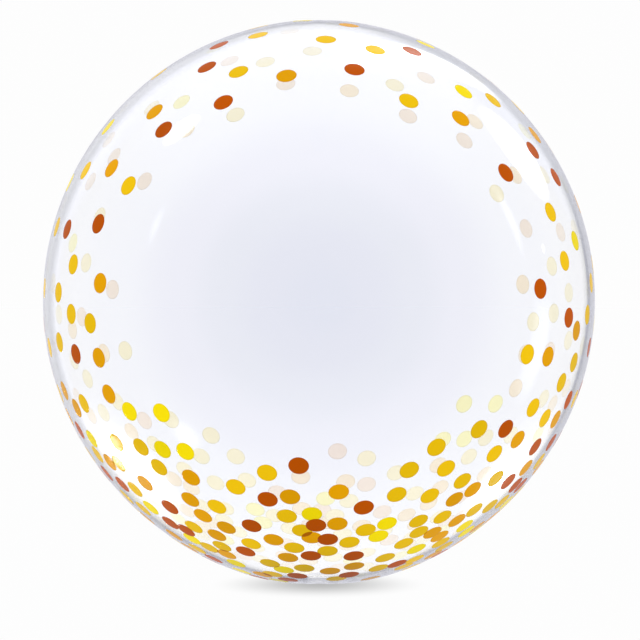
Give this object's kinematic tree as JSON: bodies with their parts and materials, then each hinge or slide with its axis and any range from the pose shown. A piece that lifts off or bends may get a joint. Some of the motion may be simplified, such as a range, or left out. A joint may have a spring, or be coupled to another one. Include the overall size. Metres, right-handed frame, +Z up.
{
  "type": "clear bubble balloon",
  "caption": "Round clear plastic bubble balloon, blown up tight, printed with metallic-toned confetti dots that gather towards its base and leave a clear window in front.",
  "frame": {"origin": "middle of the flat spot on the underside that the balloon stands on", "axes": "+Z up through the crown, -Y out through the middle of the clear window at the front, +X to the right seen from the front"},
  "size_m": [0.61, 0.61, 0.6217],
  "materials": {
    "clear_film": "clear stretched plastic film, very glossy",
    "print_copper": "glossy copper-brown printed dots",
    "print_amber": "glossy amber printed dots",
    "print_gold": "glossy gold-yellow printed dots",
    "print_lemon": "glossy lemon-yellow printed dots"
  },
  "bodies": {
    "root": {"balloon_skin": "clear_film"}
  },
  "joints": []
}
